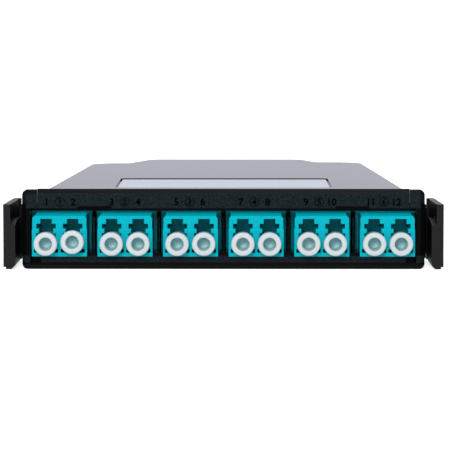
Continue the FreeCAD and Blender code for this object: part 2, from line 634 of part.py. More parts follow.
def lc_adapter(place_in_row):
    """One duplex adapter: body with four keyed ports, flange and the two windows where ferrules meet."""
    body = new_body(f"lc_adapter_{place_in_row}")
    half = f"{ADAPTER_WIDTH} / 2"
    add(body, "shell", "front", deep("adapter_setback"), "adapter_length", [
        (f"-{half}", "ledge_height"), (half, "ledge_height"), (half, f"{ADAPTER_TOP} - adapter_bevel"),
        (f"{half} - adapter_bevel", ADAPTER_TOP), (f"-{half} + adapter_bevel", ADAPTER_TOP),
        (f"-{half}", f"{ADAPTER_TOP} - adapter_bevel")])
    add(body, "skirt", "front", deep("adapter_setback - skirt_proud"), "skirt_length", rectangle(
        f"-{half} - skirt_proud", f"{half} + skirt_proud", "ledge_height", "ledge_height + skirt_height"))
    add(body, "flange", "front", deep(FLANGE_FRONT), "flange_wall", rectangle(
        f"-{half} - flange_reach", f"{half} + flange_reach", "ledge_height", ADAPTER_TOP))
    ports = [port_outline(f"{side} * port_pitch / 2") for side in ("-1", "1")]
    cut(body, "front_ports", "front", deep("adapter_setback - overrun"), "port_depth + overrun", *ports)
    cut(body, "rear_ports", "front", deep(f"{ADAPTER_BACK} - port_depth"), "port_depth + overrun", *ports)
    cut(body, "windows", "front", deep("adapter_setback"), "adapter_length",
        *[ferrule_window(f"{side} * port_pitch / 2") for side in ("-1", "1")])
    place(body, adapter_x(place_in_row))


def port_x(port):
    """X of a port, counted from 1 at the left."""
    place_in_row, side = (port + 1) // 2, "-1" if port % 2 else "1"
    return f"({adapter_x(place_in_row)} + {side} * port_pitch / 2)"


def inner_plugs(place_in_row):
    """The two plugs inside the housing: ferrule, square body and boot."""
    middle = "(adapter_setback + adapter_length / 2)"
    body_back = f"({ADAPTER_BACK} + plug_back)"
    body_front = f"({body_back} - plug_length)"
    made = []
    for port in (2 * place_in_row - 1, 2 * place_in_row):
        centre = port_x(port)
        ferrule = square_bar(f"ferrule_{port}", centre, middle, body_front, "ferrule_size")
        shell = square_bar(f"plug_shell_{port}", centre, body_front, body_back, PLUG_SIZE)
        boot = square_bar(f"boot_{port}", centre, body_back, f"({body_back} + boot_length)", "boot_size")
        made.append(fuse(f"plug_{port}", ferrule, shell, boot))
    keep(group(f"inner_plugs_{place_in_row}", *made), f"inner_plugs_{place_in_row}")


def dust_cap(port):
    """Moulded cap: front ring with a cup in it, and a barrel that fills the port's square."""
    cap = new_body(f"dust_cap_{port}")
    face = "adapter_setback - cap_proud"
    seat = "adapter_setback - skirt_proud"
    tail = "adapter_setback + cap_reach"
    outline = [
        ("0", deep(f"{face} + cup_depth")), ("cup_size / 2", deep(f"{face} + cup_depth")),
        ("cup_size / 2", deep(face)), ("cap_ring / 2", deep(face)),
        ("cap_ring / 2", deep(seat)), (f"{PLUG_SIZE} / 2", deep(seat)),
        (f"{PLUG_SIZE} / 2", deep(tail)), ("0", deep(tail))]
    sketch = cap.newObject("Sketcher::SketchObject", "cap_sketch")
    plane = next(item for item in cap.Origin.OriginFeatures if item.Role == "XY_Plane")
    sketch.AttachmentSupport = [(plane, "")]
    sketch.MapMode = "FlatFace"
    draw_loop(sketch, outline)
    turned = cap.newObject("PartDesign::Revolution", "turned")
    turned.Profile = sketch
    turned.ReferenceAxis = (sketch, ["V_Axis"])
    turned.Angle = 360
    place(cap, port_x(port), "0", PORT_LEVEL)


# ---------------------------------------------------------------- latches

def latch(name, side):
    """Side latch: tall outer plate, thick thumb tab inside it and a leg to the barrel it swings on."""
    lever = new_body(f"{name}_latch")
    outer = f"({BEZEL_SIDE} + latch_reach)"
    root = f"({BEZEL_SIDE} + latch_reach - latch_lean)"
    inner = f"({BEZEL_SIDE} + latch_reach - latch_wall)"

    def across(text):
        return f"{side} * ({text})"
    add(lever, "plate", "plan", "latch_foot", "latch_top - latch_foot", [
        (across(outer), deep("0")), (across(root), deep("latch_length - leg_wall")),
        (across(f"{root} - leg_wall / 2"), deep("latch_length")),
        (across(f"{root} - latch_wall + root_thinning"), deep("latch_length")),
        (across(f"{root} - latch_wall + root_thinning"), deep("tab_length")), (across(inner), deep("0"))])
    tab = f"({inner} - tab_reach)"
    add(lever, "thumb_tab", "front", deep("0"), "tab_length", [
        (across(tab), "tip_low + tip_bevel"), (across(f"{inner} - tab_reach / 4"), "tip_low"),
        (across(f"{inner} + tip_width"), "tip_low"), (across(f"{inner} + tip_width"), "latch_foot + overrun"),
        (across(f"{inner} + sunk"), "latch_foot + overrun"), (across(f"{inner} + sunk"), "tab_top"),
        (across(tab), "tab_top")])
    start = f"{tab} - overrun" if side == "1" else f"-{inner}"
    cut(lever, "tab_slope_cut", "side", start, "tab_reach + overrun", [
        (deep("-overrun"), "tab_top - tab_slope - tab_slope / tab_slope_length"),
        (deep("tab_slope_length"), "tab_top"), (deep("tab_slope_length"), "tab_top + overrun"),
        (deep("-overrun"), "tab_top + overrun")])
    add(lever, "rear_wall", "plan", "latch_foot", "latch_top - latch_foot",
        rectangle(across(f"{PIVOT_X} + jaw_reach + 2 * fit_gap"), across(f"{root} - latch_wall / 2"),
                  deep(f"{PIVOT_DEPTH} - leg_wall / 2"), deep(f"{PIVOT_DEPTH} + leg_wall / 2")))
    add(lever, "leg", "plan", "socket_low + fit_gap", f"{SOCKET_HEIGHT} - 2 * fit_gap",
        rectangle(across(PIVOT_X), across(f"{root} - latch_wall / 2"),
                  deep(f"{PIVOT_DEPTH} - leg_wall / 2"), deep(f"{PIVOT_DEPTH} + leg_wall / 2")))
    add(lever, "barrel", "plan", "socket_low + fit_gap", f"{SOCKET_HEIGHT} - 2 * fit_gap",
        circles=[(across(PIVOT_X), deep(PIVOT_DEPTH), "pivot_size")])


# ---------------------------------------------------------------- multi-fibre port and its cap

def mpo_box(body, kind, name, start, length, width, height):
    """A centred rectangle round the multi-fibre port's axis, padded or pocketed."""
    return kind(body, name, "front", deep(start), length, rectangle(
        f"-({width}) / 2", f"({width}) / 2",
        f"mpo_level - ({height}) / 2", f"mpo_level + ({height}) / 2"))


def mpo_adapter():
    """Rear adapter: body through the rear wall, flange outside it, two keyed sockets back to back."""
    body = new_body("mpo_adapter")
    mpo_box(body, add, "mpo_shell", MPO_FRONT, "mpo_inside + mpo_outside", "mpo_width", "mpo_height")
    mpo_box(body, add, "mpo_collar", "housing_length", "mpo_flange_wall",
            "mpo_width + 2 * mpo_flange", "mpo_height + mpo_flange")
    depth = "(mpo_inside + mpo_outside - mpo_web) / 2"
    mpo_box(body, cut, "inner_socket", f"{MPO_FRONT} - overrun", f"{depth} + overrun",
            "mpo_socket_width", "mpo_socket_height")
    mpo_box(body, cut, "outer_socket", f"{MPO_WEB_FRONT} + mpo_web", f"{depth} + overrun",
            "mpo_socket_width", "mpo_socket_height")
    cut(body, "key_slot", "front", deep(f"{MPO_WEB_FRONT} + mpo_web"), f"{depth} + overrun", rectangle(
        "-mpo_key_width / 2", "mpo_key_width / 2", "mpo_level + mpo_socket_height / 2 - sunk",
        "mpo_level + mpo_socket_height / 2 + mpo_key_height"))
    mpo_box(body, cut, "ferrule_window", f"{MPO_WEB_FRONT} - overrun", "mpo_web + 2 * overrun",
            "mt_width", "mt_height")


def mpo_dust_cap():
    """Push-in cap of the multi-fibre port, with grip hollows in its head."""
    cap = new_body("mpo_dust_cap")
    back = "(housing_length + mpo_outside)"
    mpo_box(cap, add, "cap_plug", f"{back} - mpo_cap_reach", "mpo_cap_reach + overrun",
            "mpo_socket_width - 2 * fit_gap", "mpo_socket_height - 2 * fit_gap")
    mpo_box(cap, add, "cap_head", f"{back} + fit_gap / 2", "mpo_cap_head",
            "mpo_socket_width + 2 * mpo_cap_rim", "mpo_socket_height + 2 * mpo_cap_rim")
    for name, side in (("upper", "1"), ("lower", "-1")):
        edge = f"mpo_level + {side} * (mpo_socket_height / 2 + mpo_cap_rim"
        cut(cap, f"{name}_grip", "front", deep(f"{back} + mpo_cap_head / 3"), "mpo_cap_head", rectangle(
            "-mpo_socket_width / 3", "mpo_socket_width / 3", f"{edge} - mpo_grip)", f"{edge} + overrun)"))


def mpo_inner_plug():
    """Multi-fibre plug inside the housing: ferrule through the adapter's middle wall, body and boot."""
    plug = new_body("mpo_inner_plug")
    start = f"({MPO_FRONT} - mpo_plug_length)"
    mpo_box(plug, add, "plug_body", start, f"{MPO_WEB_FRONT} - {start}",
            "mpo_socket_width", "mpo_socket_height")
    mpo_box(plug, add, "plug_ferrule", f"{MPO_WEB_FRONT} - overrun", "mpo_web + overrun",
            "mt_width", "mt_height")
    mpo_box(plug, add, "plug_boot", f"{start} - mpo_boot_length", "mpo_boot_length + overrun",
            "mpo_boot_width", "mpo_boot_height")


def fibre_harness():
    """Ribbon, fan-out block and the twelve buffered fibres that run from it to the inner plugs."""
    boot = f"({MPO_FRONT} - mpo_plug_length - mpo_boot_length)"
    fan_back = f"({boot} - ribbon_length)"
    fan_front = f"({fan_back} - fanout_length)"
    keep(block("fibre_ribbon", "-ribbon_width / 2", "ribbon_width / 2", deep(fan_back), deep(boot),
               "mpo_level - ribbon_wall / 2", "mpo_level + ribbon_wall / 2"), "fibre_ribbon")
    low = f"({PORT_LEVEL} - fanout_height / 2)"
    keep(block("fanout_block", "-fanout_width / 2", "fanout_width / 2", deep(fan_front), deep(fan_back),
               low, f"mpo_level + fanout_height / 2"), "fanout_block")
    legs = [fibre_leg(port, fan_front) for port in range(1, 2 * int(value("adapter_count")) + 1)]
    fibres = doc.addObject("Part::Feature", "fibre_legs")
    fibres.Shape = Part.makeCompound(legs)
    keep(fibres, "fibre_legs")


def fibre_leg(port, fan_front):
    """A buffered fibre, square in section: bend, straight run and opposite bend into the plug's boot."""
    middle = value("adapter_count") + 0.5
    start = FreeCAD.Vector((port - middle) * value("leg_pitch"), value(deep(fan_front)), value(PORT_LEVEL))
    end = FreeCAD.Vector(value(port_x(port)), value(deep(BOOT_BACK)), start.z)
    bend = value("leg_bend")
    run = start.y - end.y
    shift = abs(end.x - start.x)
    side = math.copysign(1, end.x - start.x)
    # The slanted run is the inner common tangent of two equal circles.
    between = math.hypot(run, shift - 2 * bend)
    angle = math.atan2(shift - 2 * bend, run) + math.asin(2 * bend / between)

    def point(across, forward):
        return FreeCAD.Vector(start.x + side * across, start.y - forward, start.z)

    def arc_point(part):
        return bend * (1 - math.cos(part)), bend * math.sin(part)
    first_middle, first_end = arc_point(angle / 2), arc_point(angle)
    second_start = (shift - first_end[0], run - first_end[1])
    second_middle = (shift - first_middle[0], run - first_middle[1])
    edges = [
        Part.Arc(point(0, 0), point(*first_middle), point(*first_end)).toShape(),
        Part.LineSegment(point(*first_end), point(*second_start)).toShape(),
        Part.Arc(point(*second_start), point(*second_middle), point(shift, run)).toShape(),
    ]
    half = value("leg_size") / 2
    corners = [start + FreeCAD.Vector(across * half, 0, up * half)
               for across, up in ((-1, -1), (1, -1), (1, 1), (-1, 1), (-1, -1))]
    profile = Part.makePolygon(corners)
    return Part.Wire(edges).makePipeShell([profile], True, True)


# ---------------------------------------------------------------- build, check and export

def check_document():
    """Stops at the first object that failed or has no valid solid."""
    for item in doc.Objects:
        if "Invalid" in item.State or "Error" in item.State:
            raise RuntimeError(f"{item.Label} failed: {item.State}")
    for item in parts:
        if item.Shape.isNull() or not item.Shape.isValid() or not item.Shape.Solids:
            raise RuntimeError(f"{item.Label} has no valid solid")


def export_parts():
    """Writes each sub-part to a file of its own."""
    os.makedirs("parts", exist_ok=True)
    for item in parts:
        item.Shape.exportStep(f"parts/{item.Label}.step")


base_tray()
top_cover()
top_label()
for number in range(1, int(value("adapter_count")) + 1):
    lc_adapter(number)
    inner_plugs(number)
for number in range(1, 2 * int(value("adapter_count")) + 1):
    dust_cap(number)
latch("left", "-1")
latch("right", "1")
mpo_adapter()
mpo_dust_cap()
mpo_inner_plug()
fibre_harness()
doc.recompute()
check_document()
export_parts()
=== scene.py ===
import json
import math

import bpy
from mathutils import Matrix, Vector

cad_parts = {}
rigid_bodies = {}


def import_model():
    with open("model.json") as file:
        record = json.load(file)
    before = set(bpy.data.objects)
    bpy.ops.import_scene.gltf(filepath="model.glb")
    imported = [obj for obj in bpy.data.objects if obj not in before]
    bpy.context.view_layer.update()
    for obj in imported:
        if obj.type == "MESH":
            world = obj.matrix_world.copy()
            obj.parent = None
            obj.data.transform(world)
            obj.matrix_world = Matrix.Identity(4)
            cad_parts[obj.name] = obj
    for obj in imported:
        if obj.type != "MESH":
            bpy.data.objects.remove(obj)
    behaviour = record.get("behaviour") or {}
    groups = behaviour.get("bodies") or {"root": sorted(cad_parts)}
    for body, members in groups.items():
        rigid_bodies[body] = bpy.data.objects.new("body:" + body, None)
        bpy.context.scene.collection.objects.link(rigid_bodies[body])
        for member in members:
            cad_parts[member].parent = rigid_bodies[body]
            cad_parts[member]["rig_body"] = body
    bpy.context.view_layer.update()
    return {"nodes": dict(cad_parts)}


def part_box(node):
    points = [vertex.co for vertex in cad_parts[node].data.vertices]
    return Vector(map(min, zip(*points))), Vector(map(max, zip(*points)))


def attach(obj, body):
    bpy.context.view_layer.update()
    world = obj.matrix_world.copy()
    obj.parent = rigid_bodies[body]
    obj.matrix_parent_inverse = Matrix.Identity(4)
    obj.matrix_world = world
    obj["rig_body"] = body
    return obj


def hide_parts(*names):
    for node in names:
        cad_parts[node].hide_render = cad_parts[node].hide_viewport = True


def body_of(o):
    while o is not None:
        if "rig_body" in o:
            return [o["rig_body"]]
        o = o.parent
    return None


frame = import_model()
nodes = frame["nodes"]


# ---- Studio ---------------------------------------------------------------------------------
# A sheet of white card under the cassette and an open white room round it.
# A softbox in front, one overhead and a weak light low in front give the plastic its shape.
# The camera looks along the housing from in front and a little above.

def linear(hex_code):
    """The linear colour of an sRGB hex code."""
    parts = [int(hex_code[i:i + 2], 16) / 255 for i in (0, 2, 4)]
    return [c / 12.92 if c < 0.04045 else ((c + 0.055) / 1.055) ** 2.4 for c in parts] + [1.0]


def add_node(tree, kind, links=None, **settings):
    """Adds a shader node, sets its properties and inputs, and links the inputs named in links."""
    made = tree.nodes.new(kind)
    for key, setting in settings.items():
        if key.startswith("in_"):
            socket = key.removeprefix("in_")
            socket = int(socket) if socket.isdigit() else socket.replace("_", " ")
            made.inputs[socket].default_value = setting
        else:
            setattr(made, key, setting)
    for target, source in (links or {}).items():
        tree.links.new(source, made.inputs[target])
    return made


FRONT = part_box("base_tray")[0].y
CAMERA_SIDE = 0.0039
CAMERA_DISTANCE = 0.650
CAMERA_HEIGHT = 0.063
CAMERA_PITCH = 4.62
CAMERA_TURN = 0.31
CAMERA_LENS = 222.6
CAMERA_SENSOR = 36
CAMERA_NEAREST = 0.01

camera_data = bpy.data.cameras.new("camera")
camera_data.lens = CAMERA_LENS
camera_data.sensor_width = CAMERA_SENSOR
camera_data.clip_start = CAMERA_NEAREST
camera = bpy.data.objects.new("camera", camera_data)
camera.location = (CAMERA_SIDE, FRONT - CAMERA_DISTANCE, CAMERA_HEIGHT)
camera.rotation_euler = (math.radians(90 - CAMERA_PITCH), 0, math.radians(CAMERA_TURN))
bpy.context.collection.objects.link(camera)
bpy.context.scene.camera = camera

# The card takes soft shadows, is lifted towards white for the camera, and is plain white in reflections.
FLOOR_SIZE = 6.0
CARD_COLOUR = "f2f2f2"
CARD_LIFT = 0.75
bpy.ops.object.select_all(action="DESELECT")
bpy.ops.mesh.primitive_plane_add(size=FLOOR_SIZE, location=(0, 0, 0))
floor = bpy.context.object
floor.name = "floor"
card = bpy.data.materials.new("white_card")
card.use_nodes = True
tree = card.node_tree
tree.nodes.clear()
paper = add_node(tree, "ShaderNodeBsdfDiffuse", in_Color=linear(CARD_COLOUR))
rays = add_node(tree, "ShaderNodeLightPath")
lift = add_node(tree, "ShaderNodeMath", operation="MULTIPLY",
                links={0: rays.outputs["Is Camera Ray"]}, in_1=CARD_LIFT)
bright = add_node(tree, "ShaderNodeEmission", in_Color=(1, 1, 1, 1), links={1: lift.outputs[0]})
lifted = add_node(tree, "ShaderNodeAddShader", links={0: paper.outputs[0], 1: bright.outputs[0]})
white = add_node(tree, "ShaderNodeEmission", in_Color=(1, 1, 1, 1), in_Strength=1.0)
seen = add_node(tree, "ShaderNodeMath", operation="MAXIMUM",
                links={0: rays.outputs["Is Glossy Ray"], 1: rays.outputs["Is Transmission Ray"]})
mixed = add_node(tree, "ShaderNodeMixShader",
                 links={0: seen.outputs[0], 1: lifted.outputs[0], 2: white.outputs[0]})
add_node(tree, "ShaderNodeOutputMaterial", links={0: mixed.outputs[0]})
floor.data.materials.append(card)

# The room is white to the camera and faintly blue in reflections, and gives less light than it shows.
ROOM_LIGHT = 0.42
REFLECTION_TINT = "f2f3ff"
world = bpy.data.worlds.new("white_room")
bpy.context.scene.world = world
world.use_nodes = True
tree = world.node_tree
tree.nodes.clear()
rays = add_node(tree, "ShaderNodeLightPath")
first = add_node(tree, "ShaderNodeMath", operation="MAXIMUM",
                 links={0: rays.outputs["Is Camera Ray"], 1: rays.outputs["Is Glossy Ray"]})
seen = add_node(tree, "ShaderNodeMath", operation="MAXIMUM",
                links={0: first.outputs[0], 1: rays.outputs["Is Transmission Ray"]})
strength = add_node(tree, "ShaderNodeMapRange", links={0: seen.outputs[0]}, in_3=ROOM_LIGHT, in_4=1.0)
tint = add_node(tree, "ShaderNodeMixRGB", links={0: rays.outputs["Is Glossy Ray"]},
                in_1=(1, 1, 1, 1), in_2=linear(REFLECTION_TINT))
white = add_node(tree, "ShaderNodeBackground", links={0: tint.outputs[0], 1: strength.outputs[0]})
add_node(tree, "ShaderNodeOutputWorld", links={0: white.outputs[0]})


def softbox(name, place, aim, size, power):
    """A square studio light with a soft edge to its shadows."""
    lamp = bpy.data.lights.new(name, "AREA")
    lamp.shape = "SQUARE"
    lamp.size = size
    lamp.energy = power
    item = bpy.data.objects.new(name, lamp)
    item.location = place
    item.rotation_euler = (Vector(aim) - Vector(place)).to_track_quat("-Z", "Y").to_euler()
    bpy.context.collection.objects.link(item)


FRONT_FACE = (0, FRONT, 0.01)
softbox("front_softbox", place=(-0.15, -1.05, 0.42), aim=FRONT_FACE, size=0.3, power=5.6)
softbox("low_fill", place=(0, -1.2, 0.1), aim=FRONT_FACE, size=0.15, power=0.7)
softbox("top_softbox", place=(0.1, 0.2, 1.1), aim=(0, 0, 0), size=0.8, power=5.0)


# ---- Base tray ------------------------------------------------------------------------------
# The lower half of the housing, injection-moulded in black ABS.
# It carries the bezel, the ledge under the adapters and the sockets of the two latches.

WELD_REACH = 2e-6
FLAT_ANGLE = 0.4
EDGE_ANGLE = 35
EDGE_STEPS = 2
SMOOTH_ANGLE = 40
FACE_WEIGHT = 100


def softened(node, width):
    """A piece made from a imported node, with its moulded edges rounded, riding where the node rides."""
    source = nodes[node]
    piece = bpy.data.objects.new(f"{node}_moulding", source.data.copy())
    bpy.context.collection.objects.link(piece)
    bpy.ops.object.select_all(action="DESELECT")
    bpy.context.view_layer.objects.active = piece
    piece.select_set(True)
    bpy.ops.object.mode_set(mode="EDIT")
    bpy.ops.mesh.select_all(action="SELECT")
    bpy.ops.mesh.remove_doubles(threshold=WELD_REACH)
    bpy.ops.mesh.dissolve_limited(angle_limit=math.radians(FLAT_ANGLE))
    bpy.ops.object.mode_set(mode="OBJECT")
    edges = piece.modifiers.new("rounded_edges", "BEVEL")
    edges.width = width
    edges.segments = EDGE_STEPS
    edges.limit_method = "ANGLE"
    edges.angle_limit = math.radians(EDGE_ANGLE)
    bpy.ops.object.modifier_apply(modifier=edges.name)
    bpy.ops.object.shade_smooth_by_angle(angle=math.radians(SMOOTH_ANGLE))
    # Weighted normals keep the large faces flat right up to their rounded edges.
    flat = piece.modifiers.new("flat_faces", "WEIGHTED_NORMAL")
    flat.keep_sharp = True
    flat.weight = FACE_WEIGHT
    bpy.ops.object.modifier_apply(modifier=flat.name)
    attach(piece, body_of(source)[0])
    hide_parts(node)
    return piece


def dress(piece, material):
    """Gives a piece one material."""
    piece.data.materials.clear()
    piece.data.materials.append(material)


def moulded_plastic(name, colour, roughness, grain_mm, relief_mm, specular=0.5):
    """Moulded plastic: an even colour, a fine relief in the surface and a reflection of the given level."""
    material = bpy.data.materials.new(name)
    material.use_nodes = True
    tree = material.node_tree
    shader = tree.nodes["Principled BSDF"]
    shader.inputs["Base Color"].default_value = linear(colour)
    shader.inputs["Roughness"].default_value = roughness
    shader.inputs["Specular IOR Level"].default_value = specular
    place = add_node(tree, "ShaderNodeTexCoord").outputs["Object"]
    grain = add_node(tree, "ShaderNodeTexNoise", links={"Vector": place},
                     in_Scale=1000 / grain_mm, in_Detail=2.0, in_Roughness=0.6)
    relief = add_node(tree, "ShaderNodeBump", links={"Height": grain.outputs[0]},
                      in_Strength=0.6, in_Distance=relief_mm / 1000)
    tree.links.new(relief.outputs[0], shader.inputs["Normal"])
    return material


# A spark-eroded finish looks matt, with paler specks. Its real grain is about a tenth of a millimetre,
# too fine to show, so it is drawn coarser.
MATT_ROUGHNESS = 0.55
SPECKLE_DARK = "0a1114"
SPECKLE_LIGHT = "222e33"
SPECKLE_MM = 0.35
SPECKLE_FROM = 0.35
SPECKLE_TO = 0.75


def spark_eroded(material, zones):
    """Makes a plastic matt and speckled inside some zones, each given as (lowest, highest, deepest)."""
    tree = material.node_tree
    shader = tree.nodes["Principled BSDF"]
    place = add_node(tree, "ShaderNodeTexCoord").outputs["Object"]
    axes = add_node(tree, "ShaderNodeSeparateXYZ", links={0: place})
    spots = add_node(tree, "ShaderNodeTexNoise", links={"Vector": place},
                     in_Scale=1000 / SPECKLE_MM, in_Detail=3.0, in_Roughness=0.7)
    share = add_node(tree, "ShaderNodeMapRange", links={0: spots.outputs[0]},
                     in_1=SPECKLE_FROM, in_2=SPECKLE_TO)
    matt = add_node(tree, "ShaderNodeMixRGB", links={0: share.outputs[0]},
                    in_1=linear(SPECKLE_DARK), in_2=linear(SPECKLE_LIGHT))
    inside = None
    for lowest, highest, deepest in zones:
        above = add_node(tree, "ShaderNodeMath", operation="GREATER_THAN",
                         links={0: axes.outputs[2]}, in_1=lowest)
        below = add_node(tree, "ShaderNodeMath", operation="LESS_THAN",
                         links={0: axes.outputs[2]}, in_1=highest)
        before = add_node(tree, "ShaderNodeMath", operation="LESS_THAN",
                          links={0: axes.outputs[1]}, in_1=deepest)
        strip = add_node(tree, "ShaderNodeMath", operation="MULTIPLY",
                         links={0: above.outputs[0], 1: below.outputs[0]})
        zone = add_node(tree, "ShaderNodeMath", operation="MULTIPLY",
                        links={0: strip.outputs[0], 1: before.outputs[0]})
        if inside:
            zone = add_node(tree, "ShaderNodeMath", operation="MAXIMUM",
                            links={0: inside.outputs[0], 1: zone.outputs[0]})
        inside = zone
    polished = shader.inputs["Base Color"].default_value[:]
    colour = add_node(tree, "ShaderNodeMixRGB",
                      links={0: inside.outputs[0], 2: matt.outputs[0]}, in_1=polished)
    gloss = add_node(tree, "ShaderNodeMapRange", links={0: inside.outputs[0]},
                     in_3=shader.inputs["Roughness"].default_value, in_4=MATT_ROUGHNESS)
    tree.links.new(colour.outputs[0], shader.inputs["Base Color"])
    tree.links.new(gloss.outputs[0], shader.inputs["Roughness"])


# Moulded ABS with a polished surface: black from in front, and mirror-like only where it is seen nearly
# edge on. Its reflection level is far below the usual 0.5, which keeps the front faces black.
# The ledge's front and the upper part of the bezel's face are spark-eroded.
HOUSING_EDGE = 0.00012
LEDGE_LOW = 0.0016
LEDGE_HIGH = 0.0032
LEDGE_DEPTH = FRONT + 0.004
POST_LOW = 0.0144
POST_DEPTH = FRONT + 0.0001
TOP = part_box("top_cover")[1].z
black_abs = moulded_plastic("black_moulded_abs", "08090c", roughness=0.15,
                            grain_mm=0.12, relief_mm=0.0002, specular=0.04)
spark_eroded(black_abs, [(LEDGE_LOW, LEDGE_HIGH, LEDGE_DEPTH), (POST_LOW, TOP, POST_DEPTH)])
dress(softened("base_tray", HOUSING_EDGE), black_abs)


# ---- Top cover ------------------------------------------------------------------------------
# The upper half: a raised top that narrows to the rear, wings beside it, and the band across the front.
# Moulded in the same black ABS, it drops onto the tray, and a lip inside each long wall locates it.
# The band carries the port numbers, moulded a little proud of it.

# The same plastic in a slightly paler black, with the whole front of the band spark-eroded.
grained_abs = moulded_plastic("black_grained_abs", "0c0e11", roughness=0.15,
                              grain_mm=0.12, relief_mm=0.0002, specular=0.04)
spark_eroded(grained_abs, [(0, TOP, POST_DEPTH)])
dress(softened("top_cover", HOUSING_EDGE), grained_abs)

# The numerals are polished: a deeper black than the matt band round them.
PAIRS = 6
MIDDLE_PAIR = (PAIRS + 1) / 2
NUMBER_HEIGHT = 0.0017
PAIR_NUMBER_HEIGHT = 0.0014
NUMBER_RELIEF = 0.00008
NUMBER_BOLD = 0.00004
RING_RADIUS = 0.00105
RING_WIRE = 0.00007
FONT_RATIO = 0.73  # a digit's height over the font's size
NUMBER_LEVEL = 0.0159
NUMBER_PITCH = 0.01518
NUMBER_SHIFT = -0.00034
NUMBER_SIDE = 0.0031
gloss_black = moulded_plastic("gloss_black_numerals", "000102", roughness=0.15,
                              grain_mm=0.5, relief_mm=0.0002, specular=0.01)


def number(text, middle, height):
    """A raised numeral on the band, centred at a place along it."""
    bpy.ops.object.select_all(action="DESELECT")
    bpy.ops.object.text_add(location=(0, 0, 0))
    item = bpy.context.object
    item.data.body = text
    item.data.size = height / FONT_RATIO
    item.data.extrude = NUMBER_RELIEF
    item.data.offset = NUMBER_BOLD
    item.data.resolution_u = 3
    bpy.ops.object.convert(target="MESH")
    item.rotation_euler = (math.pi / 2, 0, 0)
    bpy.ops.object.transform_apply(location=False, rotation=True, scale=True)
    low, high = Vector(item.bound_box[0]), Vector(item.bound_box[6])
    item.location = Vector((middle, FRONT, NUMBER_LEVEL)) - (low + high) / 2
    bpy.ops.object.transform_apply(location=True, rotation=False, scale=False)
    return item


def number_ring(middle):
    """The raised circle round a pair number."""
    bpy.ops.object.select_all(action="DESELECT")
    bpy.ops.mesh.primitive_torus_add(location=(middle, FRONT, NUMBER_LEVEL), rotation=(math.pi / 2, 0, 0),
                                     major_radius=RING_RADIUS, minor_radius=RING_WIRE,
                                     major_segments=32, minor_segments=8)
    bpy.ops.object.transform_apply(location=True, rotation=True, scale=True)
    return bpy.context.object


numerals = []
for pair in range(1, PAIRS + 1):
    middle = (pair - MIDDLE_PAIR) * NUMBER_PITCH + NUMBER_SHIFT
    numerals.append(number(str(2 * pair - 1), middle - NUMBER_SIDE, NUMBER_HEIGHT))
    numerals.append(number(str(2 * pair), middle + NUMBER_SIDE, NUMBER_HEIGHT))
    numerals.append(number(str(pair), middle, PAIR_NUMBER_HEIGHT))
    numerals.append(number_ring(middle))
bpy.ops.object.select_all(action="DESELECT")
for item in numerals:
    item.select_set(True)
bpy.context.view_layer.objects.active = numerals[0]
bpy.ops.object.join()
port_numbers = bpy.context.object
port_numbers.name = "port_numbers"
dress(port_numbers, gloss_black)
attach(port_numbers, "housing")


# ---- Top label ------------------------------------------------------------------------------
# A white label of matt polyester film, left plain here.
# It is stuck down in the cover's shallow recess, with a narrow margin all round.

# Matt film gives an even, faintly blue white with no clear reflection.
LABEL_EDGE = 0.00002
label_film = moulded_plastic("white_label_film", "c5ccd6", roughness=0.5, grain_mm=0.4, relief_mm=0.004)
dress(softened("top_label", LABEL_EDGE), label_film)


# ---- Duplex adapters ------------------------------------------------------------------------
# Six duplex adapters, each moulded in aqua PBT with two ports at the front and two at the back.
# They are dropped into the tray from above, between its stops, and a rib of the cover keeps them down.

# Moulded PBT gives an even, strong colour with hardly any reflection.
AQUA = "00b6c6"
aqua_pbt = moulded_plastic("aqua_moulded_pbt", AQUA, roughness=0.35,
                           grain_mm=0.3, relief_mm=0.002, specular=0.04)

# The upward faces of the adapter's roof and of the step across its front get some emission,
# so that the shadow of the band above doesn't hide them.
ADAPTER_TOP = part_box("lc_adapter_1")[1].z
ROOF_REACH = 0.0001
ROOF_LEVEL = ADAPTER_TOP - ROOF_REACH
STEP_HEIGHT = 0.0063
STEP_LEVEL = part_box("lc_adapter_1")[0].z + STEP_HEIGHT
STEP_REACH = 0.0002
LOOKS_UP = 0.5
ROOF_GLOW = 0.55
tree = aqua_pbt.node_tree
shader = tree.nodes["Principled BSDF"]
place = add_node(tree, "ShaderNodeTexCoord").outputs["Object"]
height = add_node(tree, "ShaderNodeSeparateXYZ", links={0: place}).outputs[2]
normal = add_node(tree, "ShaderNodeNewGeometry").outputs["Normal"]
facing = add_node(tree, "ShaderNodeSeparateXYZ", links={0: normal})
roof = add_node(tree, "ShaderNodeMath", operation="GREATER_THAN", links={0: height}, in_1=ROOF_LEVEL)
step = add_node(tree, "ShaderNodeMath", operation="COMPARE",
                links={0: height}, in_1=STEP_LEVEL, in_2=STEP_REACH)
level = add_node(tree, "ShaderNodeMath", operation="MAXIMUM", links={0: roof.outputs[0], 1: step.outputs[0]})
up = add_node(tree, "ShaderNodeMath", operation="GREATER_THAN", links={0: facing.outputs[2]}, in_1=LOOKS_UP)
lit = add_node(tree, "ShaderNodeMath", operation="MULTIPLY", links={0: level.outputs[0], 1: up.outputs[0]})
glow = add_node(tree, "ShaderNodeMath", operation="MULTIPLY", links={0: lit.outputs[0]}, in_1=ROOF_GLOW)
shader.inputs["Emission Color"].default_value = linear(AQUA)
tree.links.new(glow.outputs[0], shader.inputs["Emission Strength"])

